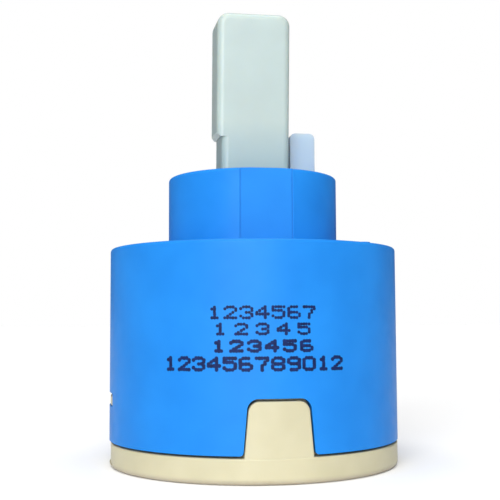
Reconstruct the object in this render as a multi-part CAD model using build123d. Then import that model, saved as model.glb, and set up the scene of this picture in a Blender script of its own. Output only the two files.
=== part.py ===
from build123d import *

import math
import os

# A single-lever mixing cartridge of the 40 mm class, in millimetres.
# The origin is the centre of the seating face under the base. +Z runs up the body's axis,
# and the front locating tongue lies towards -Y.

# Outside
BODY_R = 20.0
FLANGE_R = 19.95
FLANGE_TOP = 3.2
HOUSING_BOTTOM = 3.5
SHOULDER_Z = 29.6
COLLAR_R = 11.9
COLLAR_TOP = 39.65
COLLAR_BORE_R = 9.65
COLLAR_FLAT_Y = -11.33
COLLAR_GROOVE = 0.14
SHOULDER_EDGE_R = 0.45
COLLAR_EDGE_R = 0.4
COLLAR_FOOT_R = 0.8
FOOT_EDGE_R = 0.6
SMALL_EDGE_R = 0.2
NUB_R = 0.9
NUB_CIRCLE_R = 18.2
NUB_AZIMUTH = -47.0
NUB_HEIGHT = 0.17

# Locating tongues, at the front and the back
TONGUE_TOP = 9.95
TONGUE_FOOT = 4.28
TONGUE_CROWN = 3.68
TONGUE_CORNER_R = 1.4
TONGUE_R = 19.9
TONGUE_SIDE_GAP = 0.17
TONGUE_TOP_GAP = 0.32
MOUTH_CORNER_R = 0.5

# Snap lugs and their windows, at the two sides
WINDOW_BOTTOM = 8.2
WINDOW_TOP = 10.0
WINDOW_HALF_DEG = 10.5
LUG_GAP = 0.15
LUG_TIP_R = 19.85
NOTCH_DEPTH = 0.15

# Inside the housing
BORE_R = 18.1
GUIDE_BORE_R = 16.8
GUIDE_BORE_Z = 21.3
CEILING_Z = 27.2

# The stack of discs
PLUG_R = 17.9
SEAT_Z = 8.2
CUP_TOP = 11.4
CUP_R = 15.7
FIXED_DISC_R = 15.5
FIXED_DISC_TOP = 12.2
FILM = 0.05
MOVING_DISC_R = 13.2
MOVING_DISC_TOP = 16.2
KEY_RIBS = {1: 3.0, -1: 4.0}
KEY_RIB_GAP = 0.15
PORT_SLOT_WIDTH = 4.6
PORT_SLOT_HALF_DEG = 12.0
LEDGE_Z = 14.4
PLATE_R = 13.0
PLATE_FLAT = 11.4
PLATE_TOP = 21.5
PLATE_SEAL_R = 9.9
PLATE_SEAL_GROOVE = 1.4
PLATE_LUG = 5.0

# The rotor and what it carries
ROTOR_UNDER = 21.6
CHEEK_BOTTOM = 16.5
ROTOR_FLANGE_TOP = 26.4
ROTOR_R = 16.6
HUB_R = 9.6
HUB_TOP = 39.2
SLOT_LEFT = 5.1
SLOT_RIGHT = 4.7
SLOT_Y = 6.15
KEY_R = 17.9
KEY_HALF_DEG = 12.0
TURN_HALF_DEG = 50.0
O_RING_Z = 35.0
PIN_Z = 31.0
PIN_R = 1.5
PIN_LENGTH = 18.8
STOP_LEFT = 5.35
STOP_RIGHT = 8.95
STOP_BOTTOM = 36.4
STOP_TOP = 46.5
STOP_DEPTH = 2.0

# The lever, drawn upright and then leaned towards the front. Its head overhangs the neck on
# the left only, so that a handle fits one way round.
LEVER_TOP = 62.6
LEVER_RIGHT = 4.55
HEAD_LEFT = 5.65
HEAD_CORNER_R = 1.6
HEAD_STEP = 0.5
HEAD_BOTTOM = 45.4
NECK_LEFT = 4.95
LEVER_EDGE_R = 0.9
LEVER_DEPTH = 7.4
BALL_Z = 19.6
BALL_R = 2.3
BALL_LENGTH = 6.4
LEAN_DEG = 4.2
TILT_HALF_DEG = 12.5

# The ports: directions from +X, named as a user in front of the tap sees them
PORTS = {"hot": 218.0, "cold": 322.0, "outlet": 90.0}
PORT_CIRCLE_R = 8.2
PORT_R = 3.8
SEAL_OUTER_R = 5.7
SEAL_INNER_R = 4.2
SEAL_GAP = 0.1
GASKET_DEPTH = 2.0
SEAL_DEPTH = 2.0
LOCATING_HOLE_R = 2.1
LOCATING_HOLE_DEPTH = 3.0
LOCATING_HOLES = [(-10.6, 5.2), (10.6, 5.2)]

# What follows from the values above
ARM = PIN_Z - BALL_Z
SLIDE_HALF = ARM * math.sin(math.radians(TILT_HALF_DEG))
SLIDE_REST = ARM * math.sin(math.radians(LEAN_DEG))
UPRIGHT = (Align.CENTER, Align.CENTER, Align.MIN)
BACK = 90.0


def polar(radius, azimuth):
    """A point at a radius and a direction from +X."""
    angle = math.radians(azimuth)
    return (radius * math.cos(angle), radius * math.sin(angle))


def disc(radius, bottom, top, x=0.0, y=0.0):
    """A cylinder between two heights."""
    return Pos(x, y, bottom) * Cylinder(radius, top - bottom, align=UPRIGHT)


def ring(outer, inner, bottom, top, x=0.0, y=0.0):
    """A tube between two heights."""
    return disc(outer, bottom, top, x, y) - disc(inner, bottom - 1, top + 1, x, y)


def block(width, depth, bottom, top, x=0.0, y=0.0):
    """A box between two heights, centred at x and y."""
    return Pos(x, y, bottom) * Box(width, depth, top - bottom, align=UPRIGHT)


def sector(radius, azimuth, half_angle, bottom, top):
    """A slice of a disc, centred on a direction from +X."""
    start = azimuth - half_angle
    rim = CenterArc((0, 0), radius, start, 2 * half_angle)
    sides = [Line((0, 0), rim @ 0), Line(rim @ 1, (0, 0))]
    return Pos(0, 0, bottom) * extrude(make_face([sides[0], rim, sides[1]]), top - bottom)


def curved_slot(azimuth, half_angle, width, bottom, top):
    """A slot that follows the port circle, with round ends."""
    reach = width / 2
    band = ring(PORT_CIRCLE_R + reach, PORT_CIRCLE_R - reach, bottom, top)
    slot = band & sector(2 * PORT_CIRCLE_R, azimuth, half_angle, bottom, top)
    for end in (azimuth - half_angle, azimuth + half_angle):
        slot += disc(reach, bottom, top, *polar(PORT_CIRCLE_R, end))
    return slot


def edges_of_circle(solid, radius, height):
    """The circular edges of one radius at one height."""
    circles = solid.edges().filter_by(GeomType.CIRCLE)
    return [e for e in circles if abs(e.radius - radius) < 0.01 and abs(e.center().Z - height) < 0.01]


def tongue(side_gap, top_gap, inner, outer):
    """The tapered front tongue of the base or, with gaps, the slot that takes it."""
    foot = TONGUE_FOOT + side_gap
    crown = TONGUE_CROWN + side_gap
    top = TONGUE_TOP + top_gap
    corners = [(-foot, 0), (-foot, FLANGE_TOP), (-crown, top), (crown, top), (foot, FLANGE_TOP), (foot, 0)]
    outline = make_face(Polyline(corners, close=True))
    outline = fillet(outline.vertices().group_by(Axis.Y)[-1], TONGUE_CORNER_R)
    wall = ring(outer, inner, 0, top + 1)
    return extrude(Plane.XZ * outline, BODY_R + 2) & wall


def housing():
    """The moulded outer shell: body, shoulder and collar, open at the bottom."""
    body = disc(BODY_R, HOUSING_BOTTOM, SHOULDER_Z)
    body = fillet(edges_of_circle(body, BODY_R, SHOULDER_Z), SHOULDER_EDGE_R)
    collar = disc(COLLAR_R, SHOULDER_Z - 1, COLLAR_TOP)
    collar = fillet(edges_of_circle(collar, COLLAR_R, COLLAR_TOP), COLLAR_EDGE_R)
    shell = body + collar
    shell = fillet(edges_of_circle(shell, COLLAR_R, SHOULDER_Z), COLLAR_FOOT_R)

    edge_x = math.sqrt(COLLAR_R**2 - COLLAR_FLAT_Y**2)
    shell -= block(2 * edge_x + 1, 4, SHOULDER_Z, COLLAR_TOP + 1, y=COLLAR_FLAT_Y - 2)
    for side in (-1, 1):
        groove_x = side * (edge_x - 0.2)
        shell -= block(COLLAR_GROOVE, 2 * COLLAR_GROOVE, SHOULDER_Z, COLLAR_TOP + 1, groove_x, COLLAR_FLAT_Y)

    shell -= disc(BORE_R, HOUSING_BOTTOM - 1, GUIDE_BORE_Z)
    shell -= disc(GUIDE_BORE_R, GUIDE_BORE_Z - 1, CEILING_Z)
    shell -= disc(COLLAR_BORE_R, CEILING_Z - 1, COLLAR_TOP + 1)
    shell -= sector(BORE_R, BACK, KEY_HALF_DEG + TURN_HALF_DEG + 0.5, GUIDE_BORE_Z - 1, CEILING_Z)
    shell = chamfer(edges_of_circle(shell, COLLAR_BORE_R, COLLAR_TOP), 0.3)

    slot = tongue(TONGUE_SIDE_GAP, TONGUE_TOP_GAP, BORE_R - 1, BODY_R + 1)
    shell -= slot
    shell -= Rot(0, 0, 180) * slot
    mouths = [e for e in shell.edges().filter_by(Axis.Y) if abs(e.center().Z - HOUSING_BOTTOM) < 0.01]
    shell = fillet(mouths, MOUTH_CORNER_R)
    for azimuth in (0, 180):
        shell -= sector(BODY_R + 1, azimuth, WINDOW_HALF_DEG, WINDOW_BOTTOM, WINDOW_TOP)

    nub = disc(NUB_R, SHOULDER_Z - 0.5, SHOULDER_Z + NUB_HEIGHT, *polar(NUB_CIRCLE_R, NUB_AZIMUTH))
    return shell + nub


def on_tongue_face(edge):
    """Whether an edge lies on the tongue's round outer face."""
    ends = [edge @ 0, edge @ 0.5, edge @ 1]
    return all(abs(math.hypot(point.X, point.Y) - TONGUE_R) < 0.01 for point in ends)


def snap_lug():
    """The wedge on the base that springs into a window, built towards +X."""
    catch = WINDOW_BOTTOM + LUG_GAP
    crown = WINDOW_TOP - LUG_GAP
    root = PLUG_R - 0.5
    corners = [(root, catch), (LUG_TIP_R, catch), (LUG_TIP_R, crown - 0.4), (PLUG_R, crown), (root, crown)]
    angle = 2 * WINDOW_HALF_DEG - 1.4
    lug = revolve(Plane.XZ * make_face(Polyline(corners, close=True)), Axis.Z, angle)
    return Rot(0, 0, -angle / 2) * lug


def base():
    """The moulded base: flange, plug with the disc seat, tongues, lugs and port bores."""
    flange = disc(FLANGE_R, 0, FLANGE_TOP)
    flange = fillet(edges_of_circle(flange, FLANGE_R, 0), FOOT_EDGE_R)
    flange = fillet(edges_of_circle(flange, FLANGE_R, FLANGE_TOP), SMALL_EDGE_R)
    body = flange + disc(PLUG_R, 1, CUP_TOP)
    body -= disc(CUP_R, SEAT_Z, CUP_TOP + 1)
    front = tongue(0, 0, PLUG_R - 1, TONGUE_R)
    rims = [e for e in front.edges() if on_tongue_face(e) and e.center().Z > 0.5]
    front = fillet(rims, SMALL_EDGE_R) & block(12, 60, 1, CUP_TOP)
    body += front
    body += Rot(0, 0, 180) * front
    for azimuth in (0, 180):
        body += Rot(0, 0, azimuth) * snap_lug()
        strip = sector(FLANGE_R + 1, azimuth, WINDOW_HALF_DEG, 0.5, FLANGE_TOP)
        body -= strip - disc(FLANGE_R - NOTCH_DEPTH, 0, FLANGE_TOP + 1)
    for side, width in KEY_RIBS.items():
        body += disc_key(side, width)

    for azimuth in PORTS.values():
        x, y = polar(PORT_CIRCLE_R, azimuth)
        body -= disc(PORT_R, -1, SEAT_Z + 1, x, y)
        body -= disc(SEAL_OUTER_R + SEAL_GAP, -1, GASKET_DEPTH, x, y)
        body -= disc(SEAL_OUTER_R + SEAL_GAP, SEAT_Z - SEAL_DEPTH, SEAT_Z + 1, x, y)
    for x, y in LOCATING_HOLES:
        body -= disc(LOCATING_HOLE_R, -1, LOCATING_HOLE_DEPTH, x, y)
    for azimuth in (0, 90, 180, 270):
        pocket = ring(17.1, 15.1, -1, 4.5) & sector(20, azimuth + 45, 27, -1, 4.5)
        body -= pocket
    return body


def disc_key(side, width):
    """A rib in the cup that stops the fixed disc from turning, one width for each side."""
    rib = block(3, width, SEAT_Z - 0.5, CUP_TOP, x=side * 16.0)
    return rib & disc(PLUG_R - 0.5, SEAT_Z - 0.5, CUP_TOP)


def fixed_disc():
    """The ceramic disc that stays in the base, with three port slots and two key notches."""
    body = disc(FIXED_DISC_R, SEAT_Z, FIXED_DISC_TOP)
    for azimuth in PORTS.values():
        body -= curved_slot(azimuth, PORT_SLOT_HALF_DEG, PORT_SLOT_WIDTH, SEAT_Z - 1, FIXED_DISC_TOP + 1)
    for side, width in KEY_RIBS.items():
        body -= block(3, width + 2 * KEY_RIB_GAP, SEAT_Z - 1, FIXED_DISC_TOP + 1, x=side * 15.8)
    return body


def mixing_chamber(grow, bottom, top):
    """The opening in the moving disc: a round over the inlets and a fan over the outlet."""
    chamber = disc(5.6 + grow, bottom, top)
    chamber += sector(9.8 + grow, BACK, 50, bottom, top)
    return Pos(0, SLIDE_REST - SLIDE_HALF, 0) * chamber


def moving_disc():
    """The ceramic disc that slides and turns, with a ledge for the silencer."""
    body = disc(MOVING_DISC_R, FIXED_DISC_TOP + FILM, MOVING_DISC_TOP, y=SLIDE_REST)
    body -= mixing_chamber(0, FIXED_DISC_TOP - 1, MOVING_DISC_TOP + 1)
    body -= mixing_chamber(0.6, LEDGE_Z, MOVING_DISC_TOP + 1)
    for side in (-1, 1):
        notch_y = SLIDE_REST + side * (PLATE_R + 0.3)
        body -= block(PLATE_LUG + 0.3, 3.0, LEDGE_Z, MOVING_DISC_TOP + 1, y=notch_y)
    return body


def silencer_screen():
    """The slotted plate on the moving disc's ledge that quietens the flow."""
    body = mixing_chamber(0.5, LEDGE_Z, MOVING_DISC_TOP)
    for column in range(-3, 4):
        slot = block(1.1, 30, LEDGE_Z - 1, MOVING_DISC_TOP + 1, x=column * 2.2)
        body -= slot & mixing_chamber(-0.6, LEDGE_Z - 1, MOVING_DISC_TOP + 1)
    return body


def drive_plate():
    """The carrier that the lever pushes: flats, ball pocket, seal groove and two driving lugs."""
    body = disc(PLATE_R, MOVING_DISC_TOP, PLATE_TOP) & block(2 * PLATE_FLAT, 40, MOVING_DISC_TOP, PLATE_TOP)
    for side in (-1, 1):
        lug = block(PLATE_LUG, 3.0, LEDGE_Z + 0.2, MOVING_DISC_TOP + 0.5, y=side * (PLATE_R + 0.5))
        body += lug & disc(PLATE_R, LEDGE_Z, PLATE_TOP)
    body -= block(BALL_LENGTH + 0.5, 2 * BALL_R + 0.2, MOVING_DISC_TOP + 1, PLATE_TOP + 1)
    reach = PLATE_SEAL_GROOVE / 2
    groove_top = MOVING_DISC_TOP + PLATE_SEAL_GROOVE
    body -= ring(PLATE_SEAL_R + reach, PLATE_SEAL_R - reach, MOVING_DISC_TOP - 1, groove_top)
    return Pos(0, SLIDE_REST, 0) * body


def drive_plate_seal():
    """The O-ring that closes the drive plate on the moving disc."""
    reach = PLATE_SEAL_GROOVE / 2
    return Pos(0, SLIDE_REST, MOVING_DISC_TOP + reach) * Torus(PLATE_SEAL_R, reach - 0.01)


def rotor():
    """The turning guide: hub with the lever's slot, flange, stop key and two guide cheeks."""
    body = disc(ROTOR_R, ROTOR_UNDER, ROTOR_FLANGE_TOP)
    body += sector(KEY_R, BACK, KEY_HALF_DEG, ROTOR_UNDER, ROTOR_FLANGE_TOP - 0.3)
    cheeks = disc(ROTOR_R, CHEEK_BOTTOM, ROTOR_UNDER)
    cheeks -= block(2 * PLATE_FLAT + 0.2, 60, CHEEK_BOTTOM - 1, ROTOR_UNDER + 1)
    body += cheeks
    hub = disc(HUB_R, ROTOR_FLANGE_TOP - 1, HUB_TOP)
    hub = chamfer(edges_of_circle(hub, HUB_R, HUB_TOP), 0.3)
    body += hub
    slot_width = SLOT_LEFT + SLOT_RIGHT
    body -= block(slot_width, 2 * SLOT_Y, CHEEK_BOTTOM, HUB_TOP + 1, x=(SLOT_RIGHT - SLOT_LEFT) / 2)
    body -= ring(HUB_R + 1, HUB_R - 1.55, O_RING_Z - 1.0, O_RING_Z + 1.0)
    body -= Pos(0, 0, PIN_Z) * Rot(0, 90, 0) * Cylinder(PIN_R + 0.01, 3 * HUB_R)
    body -= stop_blank(0.02, HUB_TOP + 1)
    return body


def rotor_o_ring():
    """The O-ring round the hub, which keeps the grease in and steadies the turn."""
    return Pos(0, 0, O_RING_Z) * Torus(HUB_R - 0.75, 0.77)


def stop_blank(gap, top):
    """The upright block of the hot limit stop, or with a gap its pocket in the hub."""
    width = STOP_RIGHT - STOP_LEFT + 2 * gap
    return block(width, STOP_DEPTH + 2 * gap, STOP_BOTTOM, top, x=(STOP_LEFT + STOP_RIGHT) / 2)


def hot_limit_stop():
    """The tab plugged into the hub beside the lever, with rounded shoulders."""
    body = stop_blank(0, STOP_TOP)
    shoulders = body.edges().filter_by(Axis.Y).group_by(Axis.Z)[-1]
    body = fillet(shoulders, 0.8)
    return chamfer(body.faces().sort_by(Axis.Z)[0].edges(), 0.2)


def lever_pin():
    """The steel pin that the lever tilts on."""
    pin = Rot(0, 90, 0) * Cylinder(PIN_R, PIN_LENGTH)
    pin = chamfer(pin.edges().filter_by(GeomType.CIRCLE), 0.2)
    return Pos(0, 0, PIN_Z) * pin


def friction_ring():
    """The thin washer between the rotor's flange and the housing's ceiling."""
    return ring(16.2, 10.6, ROTOR_FLANGE_TOP + FILM, CEILING_Z)


def lever():
    """The lever: head, neck, boss round the pin and a leg with a round end."""
    reach = LEVER_DEPTH / 2
    left = [(-HEAD_LEFT, HEAD_BOTTOM), (-HEAD_LEFT, LEVER_TOP)]
    corners = left + [(LEVER_RIGHT, LEVER_TOP), (LEVER_RIGHT, HEAD_BOTTOM)]
    front = make_face(Polyline(corners, close=True))
    front = fillet(front.vertices().group_by(Axis.Y)[-1], HEAD_CORNER_R)
    front = chamfer(front.vertices().group_by(Axis.Y)[0].sort_by(Axis.X)[0], HEAD_STEP)
    head = extrude(Plane.XZ * front, reach, both=True)
    rims = head.faces().filter_by(Axis.Y).edges()
    rims = rims.filter_by(lambda edge: edge.center().Z > HEAD_BOTTOM + HEAD_STEP)
    head = fillet(rims, LEVER_EDGE_R)

    sides = Polyline([(-reach, PIN_Z), (-reach, HEAD_BOTTOM + 1), (reach, HEAD_BOTTOM + 1), (reach, PIN_Z)])
    boss = CenterArc((0, PIN_Z), reach, 180, 180)
    neck = extrude(Plane.YZ * make_face([sides, boss]), (LEVER_RIGHT + NECK_LEFT) / 2, both=True)
    neck = Pos((LEVER_RIGHT - NECK_LEFT) / 2, 0, 0) * fillet(neck.edges().filter_by(Axis.Z), LEVER_EDGE_R)

    leg = block(BALL_LENGTH, 3.6, BALL_Z, PIN_Z)
    ball = Pos(0, 0, BALL_Z) * Rot(0, 90, 0) * Cylinder(BALL_R, BALL_LENGTH)
    body = head + neck + leg + ball
    body -= Pos(0, 0, PIN_Z) * Rot(0, 90, 0) * Cylinder(PIN_R + 0.05, 3 * HUB_R)
    return Pos(0, 0, PIN_Z) * Rot(LEAN_DEG, 0, 0) * Pos(0, 0, -PIN_Z) * body


def port_ring(azimuth, bottom, top):
    """A flat rubber ring at one port."""
    return ring(SEAL_OUTER_R, SEAL_INNER_R, bottom, top, *polar(PORT_CIRCLE_R, azimuth))


def all_parts():
    """Every sub-part by the name of its node."""
    parts = {
        "housing": housing(),
        "base": base(),
        "fixed_disc": fixed_disc(),
        "moving_disc": moving_disc(),
        "silencer_screen": silencer_screen(),
        "drive_plate": drive_plate(),
        "drive_plate_seal": drive_plate_seal(),
        "rotor": rotor(),
        "rotor_o_ring": rotor_o_ring(),
        "friction_ring": friction_ring(),
        "hot_limit_stop": hot_limit_stop(),
        "lever": lever(),
        "lever_pin": lever_pin(),
    }
    for port, azimuth in PORTS.items():
        parts[port + "_seal"] = port_ring(azimuth, SEAT_Z - SEAL_DEPTH, SEAT_Z)
        parts[port + "_gasket"] = port_ring(azimuth, 0, GASKET_DEPTH)
    return parts


os.makedirs("parts", exist_ok=True)
for node, shape in all_parts().items():
    export_step(shape, f"parts/{node}.step")
    size = shape.bounding_box().size
    print(f"{node:18s} {shape.volume:9.1f} mm3  {size.X:6.2f} x {size.Y:6.2f} x {size.Z:6.2f}")
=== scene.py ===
# %% [markdown]
# # A mixing cartridge for a single-lever tap
#
# This lesson finishes a CAD model of the valve that sits inside a tap: a blue plastic housing on
# a cream base, with a milky lever standing up out of its collar. The CAD model gives every
# piece its true shape and place. Blender gives the pieces their plastics, ceramic, rubber and
# steel, prints the maker's code on the housing, and sets up a small studio.
#
# Everything is in metres, in the CAD model's own frame: the origin is under the middle of the
# base, Z runs up the axis, and the front of the cartridge faces -Y.

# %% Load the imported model
import math
import random

import bpy
from mathutils import Matrix, Vector


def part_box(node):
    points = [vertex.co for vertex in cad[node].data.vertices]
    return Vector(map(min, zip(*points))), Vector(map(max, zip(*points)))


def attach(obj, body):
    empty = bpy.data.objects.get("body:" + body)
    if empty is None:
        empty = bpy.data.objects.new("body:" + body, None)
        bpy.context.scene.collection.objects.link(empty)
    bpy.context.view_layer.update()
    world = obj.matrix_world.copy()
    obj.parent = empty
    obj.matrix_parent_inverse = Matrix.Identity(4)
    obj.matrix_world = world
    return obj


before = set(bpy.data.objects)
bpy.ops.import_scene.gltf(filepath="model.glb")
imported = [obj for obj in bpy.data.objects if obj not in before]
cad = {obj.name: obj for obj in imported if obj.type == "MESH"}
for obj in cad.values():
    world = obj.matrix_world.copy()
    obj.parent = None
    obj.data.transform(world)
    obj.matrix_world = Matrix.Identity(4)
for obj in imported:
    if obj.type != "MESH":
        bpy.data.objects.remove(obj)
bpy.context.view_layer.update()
MM = 0.001

# %% [markdown]
# ## Helpers
#
# Colours are written as they look on a screen, so one function turns them into the linear
# numbers that the shader works with. The second adds one shader node, sets its options, and
# fills each input with either a plain value or a link from another node. The next ones start and
# finish a material.

# %% Helpers for colours and shader nodes
def colour(hex_code, alpha=1.0):
    """A screen colour such as "#2d9bfd" as linear red, green, blue and alpha."""
    levels = [int(hex_code[i:i + 2], 16) / 255 for i in (1, 3, 5)]
    return [c / 12.92 if c <= 0.04045 else ((c + 0.055) / 1.055) ** 2.4 for c in levels] + [alpha]


def add_node(tree, kind, options=None, inputs=None):
    """One shader node, with its options and its inputs set or linked."""
    node = tree.nodes.new(kind)
    for name, value in (options or {}).items():
        setattr(node, name, value)
    for name, value in (inputs or {}).items():
        if isinstance(value, bpy.types.NodeSocket):
            tree.links.new(value, node.inputs[name])
        else:
            node.inputs[name].default_value = value
    return node


def start_material(name):
    """An empty material, with its node tree and the piece's own coordinates in metres."""
    material = bpy.data.materials.new(name)
    material.use_nodes = True
    tree = material.node_tree
    tree.nodes.clear()
    place = add_node(tree, "ShaderNodeTexCoord").outputs["Object"]
    return material, tree, place


def finish_material(tree, shader):
    """Link the finished shader to the material's output."""
    add_node(tree, "ShaderNodeOutputMaterial", inputs={"Surface": shader.outputs["BSDF"]})

# %% [markdown]
# ## Patterns
#
# No moulded part has one even colour. These four build small differences: a noise pattern of a
# real size, its range stretched, a mix of two tones steered by it, and a shallow relief. The last
# one gives CAD pieces their material and says which.

# %% Helpers for patterns
def noise(tree, place, size_mm, detail=2.0):
    """A noise pattern whose blotches are about the given size."""
    inputs = {"Vector": place, "Scale": 1 / (size_mm * MM), "Detail": detail}
    return add_node(tree, "ShaderNodeTexNoise", inputs=inputs).outputs["Fac"]


def spread(tree, value, low, high, from_low=0.3, from_high=0.7):
    """A pattern's value stretched to a new range."""
    span = {"From Min": from_low, "From Max": from_high, "To Min": low, "To Max": high}
    return add_node(tree, "ShaderNodeMapRange", inputs={"Value": value, **span}).outputs["Result"]


def two_tone(tree, factor, dark, light):
    """A colour that wanders between two tones, each a hex colour or another node's output."""
    mix = add_node(tree, "ShaderNodeMix", {"data_type": "RGBA"}, {"Factor": factor})
    for socket, tone in ((mix.inputs[6], dark), (mix.inputs[7], light)):
        if isinstance(tone, str):
            socket.default_value = colour(tone)
        else:
            tree.links.new(tone, socket)
    return mix.outputs[2]


def bump(tree, height, depth_mm, strength=1.0):
    """A surface relief of a given depth."""
    inputs = {"Height": height, "Distance": depth_mm * MM, "Strength": strength}
    return add_node(tree, "ShaderNodeBump", inputs=inputs).outputs["Normal"]


def cover(material, *nodes):
    """Give CAD pieces one material."""
    for node in nodes:
        slots = cad[node].data.materials
        slots.clear()
        slots.append(material)
    print("%s -> %s" % (material.name, ", ".join(nodes)))


# %% [markdown]
# ## The housing's blue acetal
#
# The housing is acetal, the hard slippery plastic of gears and zips, coloured right through and
# moulded in a polished steel tool. It leaves the tool with an even satin gloss. Close up there
# are cloudy differences of tone where the melt flowed, and a very shallow ripple from the tool.

# %% Blue acetal
def blue_acetal():
    """Satin blue: faint clouds, and a gloss that follows the tool's ripple."""
    material, tree, place = start_material("blue_moulded_acetal")
    clouds = noise(tree, place, 6.0)
    tone = two_tone(tree, spread(tree, clouds, 0, 1), "#1b73c2", "#1f7aca")
    ripple = noise(tree, place, 1.6, detail=3.0)
    gloss = spread(tree, ripple, 0.38, 0.46)
    shader = add_node(tree, "ShaderNodeBsdfPrincipled", inputs={
        "Base Color": tone, "Roughness": gloss, "IOR": 1.48, "Specular IOR Level": 0.1,
        "Subsurface Weight": 0.12, "Subsurface Radius": [0.2, 0.5, 1.0], "Subsurface Scale": 0.6 * MM,
        "Normal": bump(tree, ripple, 0.012)})
    finish_material(tree, shader)
    return material


cover(blue_acetal(), "housing")

# %% [markdown]
# ## The base's cream acetal
#
# The base is the same plastic with a cream pigment. Light enters it a little way, so its shadows
# are warm, and its finer tool texture makes it duller than the housing. The underside and the
# rounded lower edge are painted a darker brown-grey: a painted shade for the shadow at the foot.

# %% Cream acetal
# Painted shade: the base is darkened towards brown-grey up to these heights, standing in for the
# shadow at its foot.
FOOT_SHADE_FULL_BELOW = 0.15 * MM
FOOT_SHADE_NONE_ABOVE = 0.85 * MM


def cream_acetal():
    """Dull cream with warm shadows, and a painted shade darkening its foot."""
    material, tree, place = start_material("cream_moulded_acetal")
    clouds = noise(tree, place, 5.0)
    unshaded_tone = two_tone(tree, spread(tree, clouds, 0, 1), "#b0aa8c", "#b7b194")
    grain = noise(tree, place, 0.35, detail=3.0)
    height = add_node(tree, "ShaderNodeSeparateXYZ", inputs={"Vector": place}).outputs["Z"]
    # Painted shade at the foot: full below the lower height, gone above the upper one.
    foot_shade = spread(tree, height, 0.75, 0.0, FOOT_SHADE_FULL_BELOW, FOOT_SHADE_NONE_ABOVE)
    tone = two_tone(tree, foot_shade, unshaded_tone, "#958b7e")
    shader = add_node(tree, "ShaderNodeBsdfPrincipled", inputs={
        "Base Color": tone, "Roughness": spread(tree, grain, 0.42, 0.5), "IOR": 1.48,
        "Subsurface Weight": 0.25, "Subsurface Radius": [1.0, 0.7, 0.4], "Subsurface Scale": 0.8 * MM,
        "Normal": bump(tree, grain, 0.006)})
    finish_material(tree, shader)
    return material


cover(cream_acetal(), "base")

# %% [markdown]
# ## The lever and the limit stop
#
# Both are moulded in undyed nylon, which is milky: light enters, scatters and comes out again,
# so the lever has soft shadows and takes a little colour from whatever stands beside it. Low
# down, towards the hub, the colour is painted bluer and darker: painted shade and painted blue light
# from the collar.

# %% Milky nylon
# Painted shade: this far above the hub the nylon is painted bluer and darker, standing in for shade
# and blue light bounced from the collar.
LOW_SHADE_REACH = 8 * MM


def milky_nylon(name, dark, light, see_through, shaded_tone, hub_top):
    """Soft and cloudy, passing into painted shade and painted blue collar light towards the hub."""
    material, tree, place = start_material(name)
    clouds = noise(tree, place, 6.0)
    unshaded_tone = two_tone(tree, spread(tree, clouds, 0, 1), dark, light)
    height = add_node(tree, "ShaderNodeSeparateXYZ", inputs={"Vector": place}).outputs["Z"]
    # Painted shade and painted blue light: full at the hub's top, gone higher up.
    low_shade = spread(tree, height, 1, 0, hub_top, hub_top + LOW_SHADE_REACH)
    tone = two_tone(tree, low_shade, unshaded_tone, shaded_tone)
    grain = noise(tree, place, 0.9, detail=3.0)
    shader = add_node(tree, "ShaderNodeBsdfPrincipled", inputs={
        "Base Color": tone, "Roughness": spread(tree, grain, 0.34, 0.44), "IOR": 1.53,
        "Subsurface Weight": 0.8, "Subsurface Radius": [1.3, 1.0, 0.7], "Subsurface Scale": 2.0 * MM,
        "Transmission Weight": see_through, "Normal": bump(tree, grain, 0.008)})
    finish_material(tree, shader)
    return material


hub_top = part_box("rotor")[1].z
# The last colour in each call is the painted shade with painted blue collar light near the hub.
cover(milky_nylon("milky_green_nylon", "#a5b4b2", "#aabab8", 0.1, "#8aa4ae", hub_top), "lever")
cover(milky_nylon("milky_blue_nylon", "#adc4d6", "#b6cdde", 0.3, "#9db6d2", hub_top), "hot_limit_stop")

# %% [markdown]
# ## What turns and slides inside
#
# The rotor and the drive plate are acetal too, but left undyed and tumbled after moulding, so
# they are plain white and slightly rough. The screen is a finer, duller moulding of its own.

# %% White acetal
def white_acetal(name, dark, light, grain_mm, roughness):
    """Plain white, dulled by a grain of the given size."""
    material, tree, place = start_material(name)
    clouds = noise(tree, place, 7.0)
    tone = two_tone(tree, spread(tree, clouds, 0, 1), dark, light)
    grain = noise(tree, place, grain_mm, detail=4.0)
    shader = add_node(tree, "ShaderNodeBsdfPrincipled", inputs={
        "Base Color": tone, "IOR": 1.48,
        "Roughness": spread(tree, grain, roughness - 0.05, roughness + 0.05),
        "Subsurface Weight": 0.2, "Subsurface Radius": [1.0, 0.9, 0.8], "Subsurface Scale": 0.7 * MM,
        "Normal": bump(tree, grain, 0.008)})
    finish_material(tree, shader)
    return material


cover(white_acetal("white_tumbled_acetal", "#c8cdd0", "#d2d6d8", 0.5, 0.45), "rotor")
cover(white_acetal("natural_moulded_acetal", "#cac8bc", "#d2d1c8", 0.6, 0.4), "drive_plate")
cover(white_acetal("white_fine_moulded_acetal", "#c4c5c0", "#cfd0cb", 0.25, 0.6), "silencer_screen")

# %% [markdown]
# ## The ceramic discs
#
# The discs are fired alumina. Their faces are lapped as flat as glass so that two of them seal
# against each other, which leaves a soft sheen, while the grain of the fired powder shows as
# faint specks. The fixed disc is the ivory grade and the moving disc the whiter one.

# %% Lapped alumina
def lapped_alumina(name, dark, light):
    """A hard, cold sheen with fine specks."""
    material, tree, place = start_material(name)
    clouds = noise(tree, place, 5.0)
    tone = two_tone(tree, spread(tree, clouds, 0, 1), dark, light)
    speck = noise(tree, place, 0.18, detail=1.0)
    shader = add_node(tree, "ShaderNodeBsdfPrincipled", inputs={
        "Base Color": tone, "Roughness": spread(tree, speck, 0.16, 0.26), "IOR": 1.76,
        "Normal": bump(tree, speck, 0.001)})
    finish_material(tree, shader)
    return material


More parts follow.
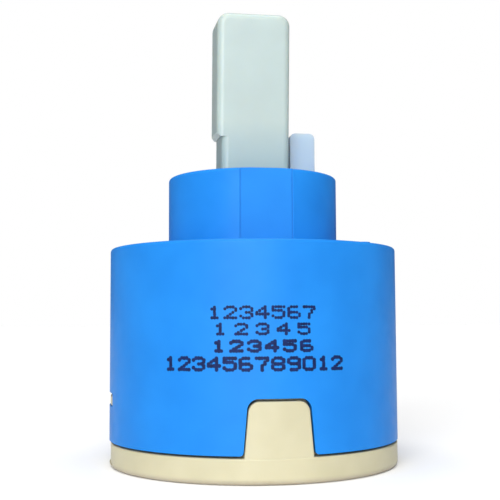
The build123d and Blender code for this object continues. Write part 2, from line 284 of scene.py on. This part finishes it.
cover(lapped_alumina("ivory_lapped_alumina", "#cbc2b0", "#d5cdbc"), "fixed_disc")
cover(lapped_alumina("white_lapped_alumina", "#cfcfcc", "#d8d8d6"), "moving_disc")

# %% [markdown]
# ## The rubber rings
#
# The sealing rings are EPDM, the black rubber that stands hot water. It has no shine except a
# thin film of silicone grease, so its gloss is uneven: wet-looking here, dull there.

# %% Rubber rings
def epdm_rubber():
    """Black, matt where dry and shiny where greased."""
    material, tree, place = start_material("black_greased_epdm_rubber")
    smears = noise(tree, place, 2.5, detail=3.0)
    tone = two_tone(tree, spread(tree, smears, 0, 1), "#161617", "#232425")
    grain = noise(tree, place, 0.3, detail=2.0)
    shader = add_node(tree, "ShaderNodeBsdfPrincipled", inputs={
        "Base Color": tone, "Roughness": spread(tree, smears, 0.35, 0.65), "IOR": 1.5,
        "Normal": bump(tree, grain, 0.01)})
    finish_material(tree, shader)
    return material


port_rings = [port + kind for port in ("hot", "cold", "outlet") for kind in ("_seal", "_gasket")]
cover(epdm_rubber(), "drive_plate_seal", "rotor_o_ring", *port_rings)

# %% [markdown]
# ## The slippery washer
#
# The washer between rotor and housing is PTFE, skived in a thin sheet from a solid bar. It is
# waxy white and lets light through at its edge, and the skiving blade has left a faint grain.

# %% Slippery washer
def ptfe_washer():
    """Waxy white that glows at its thin edge."""
    material, tree, place = start_material("white_skived_ptfe")
    clouds = noise(tree, place, 3.0)
    tone = two_tone(tree, spread(tree, clouds, 0, 1), "#d0cec8", "#d8d7d2")
    skive = noise(tree, place, 0.4, detail=3.0)
    shader = add_node(tree, "ShaderNodeBsdfPrincipled", inputs={
        "Base Color": tone, "Roughness": spread(tree, skive, 0.45, 0.6), "IOR": 1.35,
        "Subsurface Weight": 0.4, "Subsurface Radius": [1.0, 1.0, 0.9], "Subsurface Scale": 0.8 * MM,
        "Normal": bump(tree, skive, 0.005)})
    finish_material(tree, shader)
    return material


cover(ptfe_washer(), "friction_ring")

# %% [markdown]
# ## The steel pin
#
# The lever tilts on a stainless steel pin that lies along X. It was ground while it spun, so the
# scratches run round it. Squeezing the pattern along X and stretching it across makes fine rings,
# and they draw each highlight out along the pin's length.

# %% Steel pin
def ground_steel():
    """Bright steel with fine rings of scratches."""
    material, tree, place = start_material("centreless_ground_stainless_steel")
    squeeze = {"Vector": place, "Scale": [8.0, 0.4, 0.4]}
    rings = add_node(tree, "ShaderNodeMapping", inputs=squeeze).outputs["Vector"]
    scratches = noise(tree, rings, 0.6, detail=4.0)
    tone = two_tone(tree, spread(tree, scratches, 0, 1), "#b9bbbd", "#d2d4d5")
    shader = add_node(tree, "ShaderNodeBsdfPrincipled", inputs={
        "Base Color": tone, "Metallic": 1.0, "Roughness": spread(tree, scratches, 0.2, 0.34),
        "Normal": bump(tree, scratches, 0.001)})
    finish_material(tree, shader)
    return material


cover(ground_steel(), "lever_pin")

# %% [markdown]
# ## The printed code
#
# A print head has sprayed four rows of characters on the housing as it rolled past, each built
# from a grid of 5 by 7 ink dots. The real rows say who made the part and when. Here they are
# plain running digits. A "#" in a pattern is a dot, a "." is bare plastic, and a space starts
# the next line down.

# %% The shapes of the digits
DIGITS = {
    "0": ".###. #...# #...# #...# #...# #...# .###.",
    "1": "..#.. .##.. ..#.. ..#.. ..#.. ..#.. .###.",
    "2": ".###. #...# ....# ...#. ..#.. .#... #####",
    "3": ".###. #...# ....# ..##. ....# #...# .###.",
    "4": "...#. ..##. .#.#. #..#. ##### ...#. ...#.",
    "5": "##### #.... ####. ....# ....# #...# .###.",
    "6": ".###. #.... #.... ####. #...# #...# .###.",
    "7": "##### ....# ...#. ...#. ..#.. ..#.. ..#..",
    "8": ".###. #...# #...# .###. #...# #...# .###.",
    "9": ".###. #...# #...# .#### ....# ....# .###.",
}

# Each row: its digits, its lowest and highest dot in mm, the directions in degrees that it runs
# between, from the front towards the right, and how far its ink has spread.
PRINT_ROWS = [
    ("1234567", 19.96, 21.26, -25.0, 13.0, 1.0),
    ("12345", 18.02, 19.19, -23.0, 11.0, 1.0),
    ("123456", 15.98, 17.14, -23.5, 12.0, 1.2),
    ("123456789012", 13.72, 15.11, -42.0, 24.0, 1.2),
]
CHARACTER_DEG = 4.6
DOT_R = 0.2

# %% [markdown]
# ## One ink dot
#
# The dot starts as a flat eight-sided cylinder on the front of the housing, half sunk in. Its
# outer face is picked by the way it faces, inset, and pulled out a little, as a dried drop is
# thickest in its middle. It stays this simple because hundreds of copies follow.

# %% One ink dot, on the front of the housing
DOT_DEPTH = 0.03
DOT_RIM = 0.05
DOT_DOME = 0.008
body_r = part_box("housing")[1].x
bpy.ops.object.select_all(action="DESELECT")
bpy.ops.mesh.primitive_cylinder_add(vertices=8, radius=DOT_R * MM, depth=DOT_DEPTH * MM,
                                    end_fill_type="NGON", rotation=(math.pi / 2, 0, 0),
                                    location=(0, -body_r, 0))
bpy.ops.object.transform_apply(location=True, rotation=True, scale=True)
dot = bpy.context.object
bpy.ops.object.mode_set(mode="EDIT")
bpy.ops.mesh.select_all(action="DESELECT")
bpy.ops.object.mode_set(mode="OBJECT")
for face in dot.data.polygons:
    face.select = face.normal.y < -0.9
bpy.ops.object.mode_set(mode="EDIT")
bpy.ops.mesh.select_mode(type="FACE")
bpy.ops.mesh.inset(thickness=DOT_RIM * MM)
bpy.ops.transform.translate(value=(0, -DOT_DOME * MM, 0))
bpy.ops.object.mode_set(mode="OBJECT")
print("faces in one dot:", len(dot.data.polygons))

# %% [markdown]
# ## All the dots
#
# Each copy is turned round the housing's axis and lifted to its height, so it lies against the
# curve. Real ink dots wander and swell, so a seeded random number nudges each one. The lower
# rows have soaked out wider. At the end the dots are joined into one object that rides on the
# body.

# %% All the dots
CHARACTER_COLUMNS = 4.8
FIRST_COLUMN = 0.4
NUDGE_DEG = 0.05
NUDGE_MM = 0.015
SWELL = 0.07


def lay_dot(across_deg, height_mm, size):
    """A copy of the dot at a direction from the front and a height."""
    copy = dot.copy()
    copy.data = dot.data.copy()
    grow = Matrix.Diagonal((size, 1, size, 1))
    turn = Matrix.Rotation(math.radians(across_deg), 4, "Z")
    copy.data.transform(Matrix.Translation((0, 0, height_mm * MM)) @ turn @ grow)
    bpy.context.scene.collection.objects.link(copy)
    return copy


shake = random.Random(4)
dots = []
for text, bottom, top, first, last, spread_out in PRINT_ROWS:
    step = (last - first - CHARACTER_DEG) / (len(text) - 1)
    for place_in_row, digit in enumerate(text):
        left = first + place_in_row * step
        for line, cells in enumerate(DIGITS[digit].split()):
            for column, cell in enumerate(cells):
                if cell == "#":
                    across = left + CHARACTER_DEG * (column + FIRST_COLUMN) / CHARACTER_COLUMNS
                    across += shake.uniform(-NUDGE_DEG, NUDGE_DEG)
                    height = top - (top - bottom) * line / 6 + shake.uniform(-NUDGE_MM, NUDGE_MM)
                    size = spread_out * shake.uniform(1 - SWELL, 1 + SWELL)
                    dots.append(lay_dot(across, height, size))
bpy.data.objects.remove(dot)
bpy.ops.object.select_all(action="DESELECT")
for piece in dots:
    piece.select_set(True)
bpy.context.view_layer.objects.active = dots[0]
bpy.ops.object.join()
printed_code = bpy.context.object
printed_code.name = "printed_code"
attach(printed_code, "body")
print("ink dots:", len(dots), "faces:", len(printed_code.data.polygons))

# %% [markdown]
# ## The marking ink
#
# Dried marking ink is a thin navy film, matt where it soaked in and slightly shiny where a drop
# stands proud. Against the blue acetal it reads as almost black.

# %% Marking ink
def marking_ink():
    """Nearly black, and mostly matt."""
    material, tree, place = start_material("dried_navy_marking_ink")
    film = noise(tree, place, 0.5, detail=3.0)
    tone = two_tone(tree, spread(tree, film, 0, 1), "#0a1638", "#12265a")
    shader = add_node(tree, "ShaderNodeBsdfPrincipled", inputs={
        "Base Color": tone, "Roughness": spread(tree, film, 0.45, 0.65), "IOR": 1.5,
        "Specular IOR Level": 0.12,
        "Normal": bump(tree, film, 0.004)})
    finish_material(tree, shader)
    return material


ink = marking_ink()
printed_code.data.materials.clear()
printed_code.data.materials.append(ink)
print("%s -> %s" % (ink.name, printed_code.name))

# %% [markdown]
# ## The studio
#
# Small mouldings are shown on a white sheet. A very soft light from above makes the sheet white
# all the way back, and the sheet throws light up at the object. A stronger soft light from the
# front, high and a little to the left, shapes the round walls: they are brightest where they
# face it. The surround is white to look at but gives little light, so the sides of the housing
# can fall darker.

# %% Floor, lights and surround
def place_at(thing, place_mm, aim_mm):
    """Put a light or camera at one point, facing another."""
    start = Vector(place_mm) * MM
    thing.location = start
    thing.rotation_euler = (Vector(aim_mm) * MM - start).to_track_quat("-Z", "Y").to_euler()


def soft_light(name, from_mm, strength, width_deg):
    """A light that fills a wide patch of the sky in one direction."""
    light = bpy.data.lights.new(name, "SUN")
    light.energy = strength
    light.angle = math.radians(width_deg)
    lamp = bpy.data.objects.new(name, light)
    bpy.context.scene.collection.objects.link(lamp)
    place_at(lamp, from_mm, (0, 0, 30))


bpy.ops.object.select_all(action="DESELECT")
bpy.ops.mesh.primitive_plane_add(size=8.0, location=(0, 0, 0))
floor = bpy.context.object
floor.name = "floor"
sheet, tree, place = start_material("white_sheet")
finish_material(tree, add_node(tree, "ShaderNodeBsdfPrincipled", inputs={
    "Base Color": colour("#f4f4f4"), "Roughness": 0.9, "Specular IOR Level": 0.2}))
floor.data.materials.append(sheet)

world = bpy.data.worlds.new("white_surround")
bpy.context.scene.world = world
world.use_nodes = True
tree = world.node_tree
tree.nodes.clear()
seen = add_node(tree, "ShaderNodeBackground", inputs={"Color": colour("#ffffff"), "Strength": 1.0})
felt = add_node(tree, "ShaderNodeBackground", inputs={"Color": colour("#ffffff"), "Strength": 0.16})
rays = add_node(tree, "ShaderNodeLightPath")
mix = add_node(tree, "ShaderNodeMixShader", inputs={"Fac": rays.outputs["Is Camera Ray"]})
tree.links.new(felt.outputs["Background"], mix.inputs[1])
tree.links.new(seen.outputs["Background"], mix.inputs[2])
add_node(tree, "ShaderNodeOutputWorld", inputs={"Surface": mix.outputs["Shader"]})

bpy.context.scene.view_settings.view_transform = "Standard"
soft_light("top_light", (-30, -60, 600), 1.9, 50)
soft_light("front_light", (-112, -390, 175), 4.0, 48)

# %% [markdown]
# ## The camera
#
# A cartridge is usually shown from close by and slightly from its left, with the camera low, so
# the collar hides the top of the rotor.

# %% Camera
lens = bpy.data.cameras.new("camera")
lens.lens = 66.45
lens.sensor_width = 36
camera = bpy.data.objects.new("camera", lens)
bpy.context.scene.collection.objects.link(camera)
place_at(camera, (-21.2, -129.5, 19.5), (-0.52, -0.9, 29.6))
camera.rotation_euler.rotate_axis("Z", math.radians(-0.25))
bpy.context.scene.camera = camera
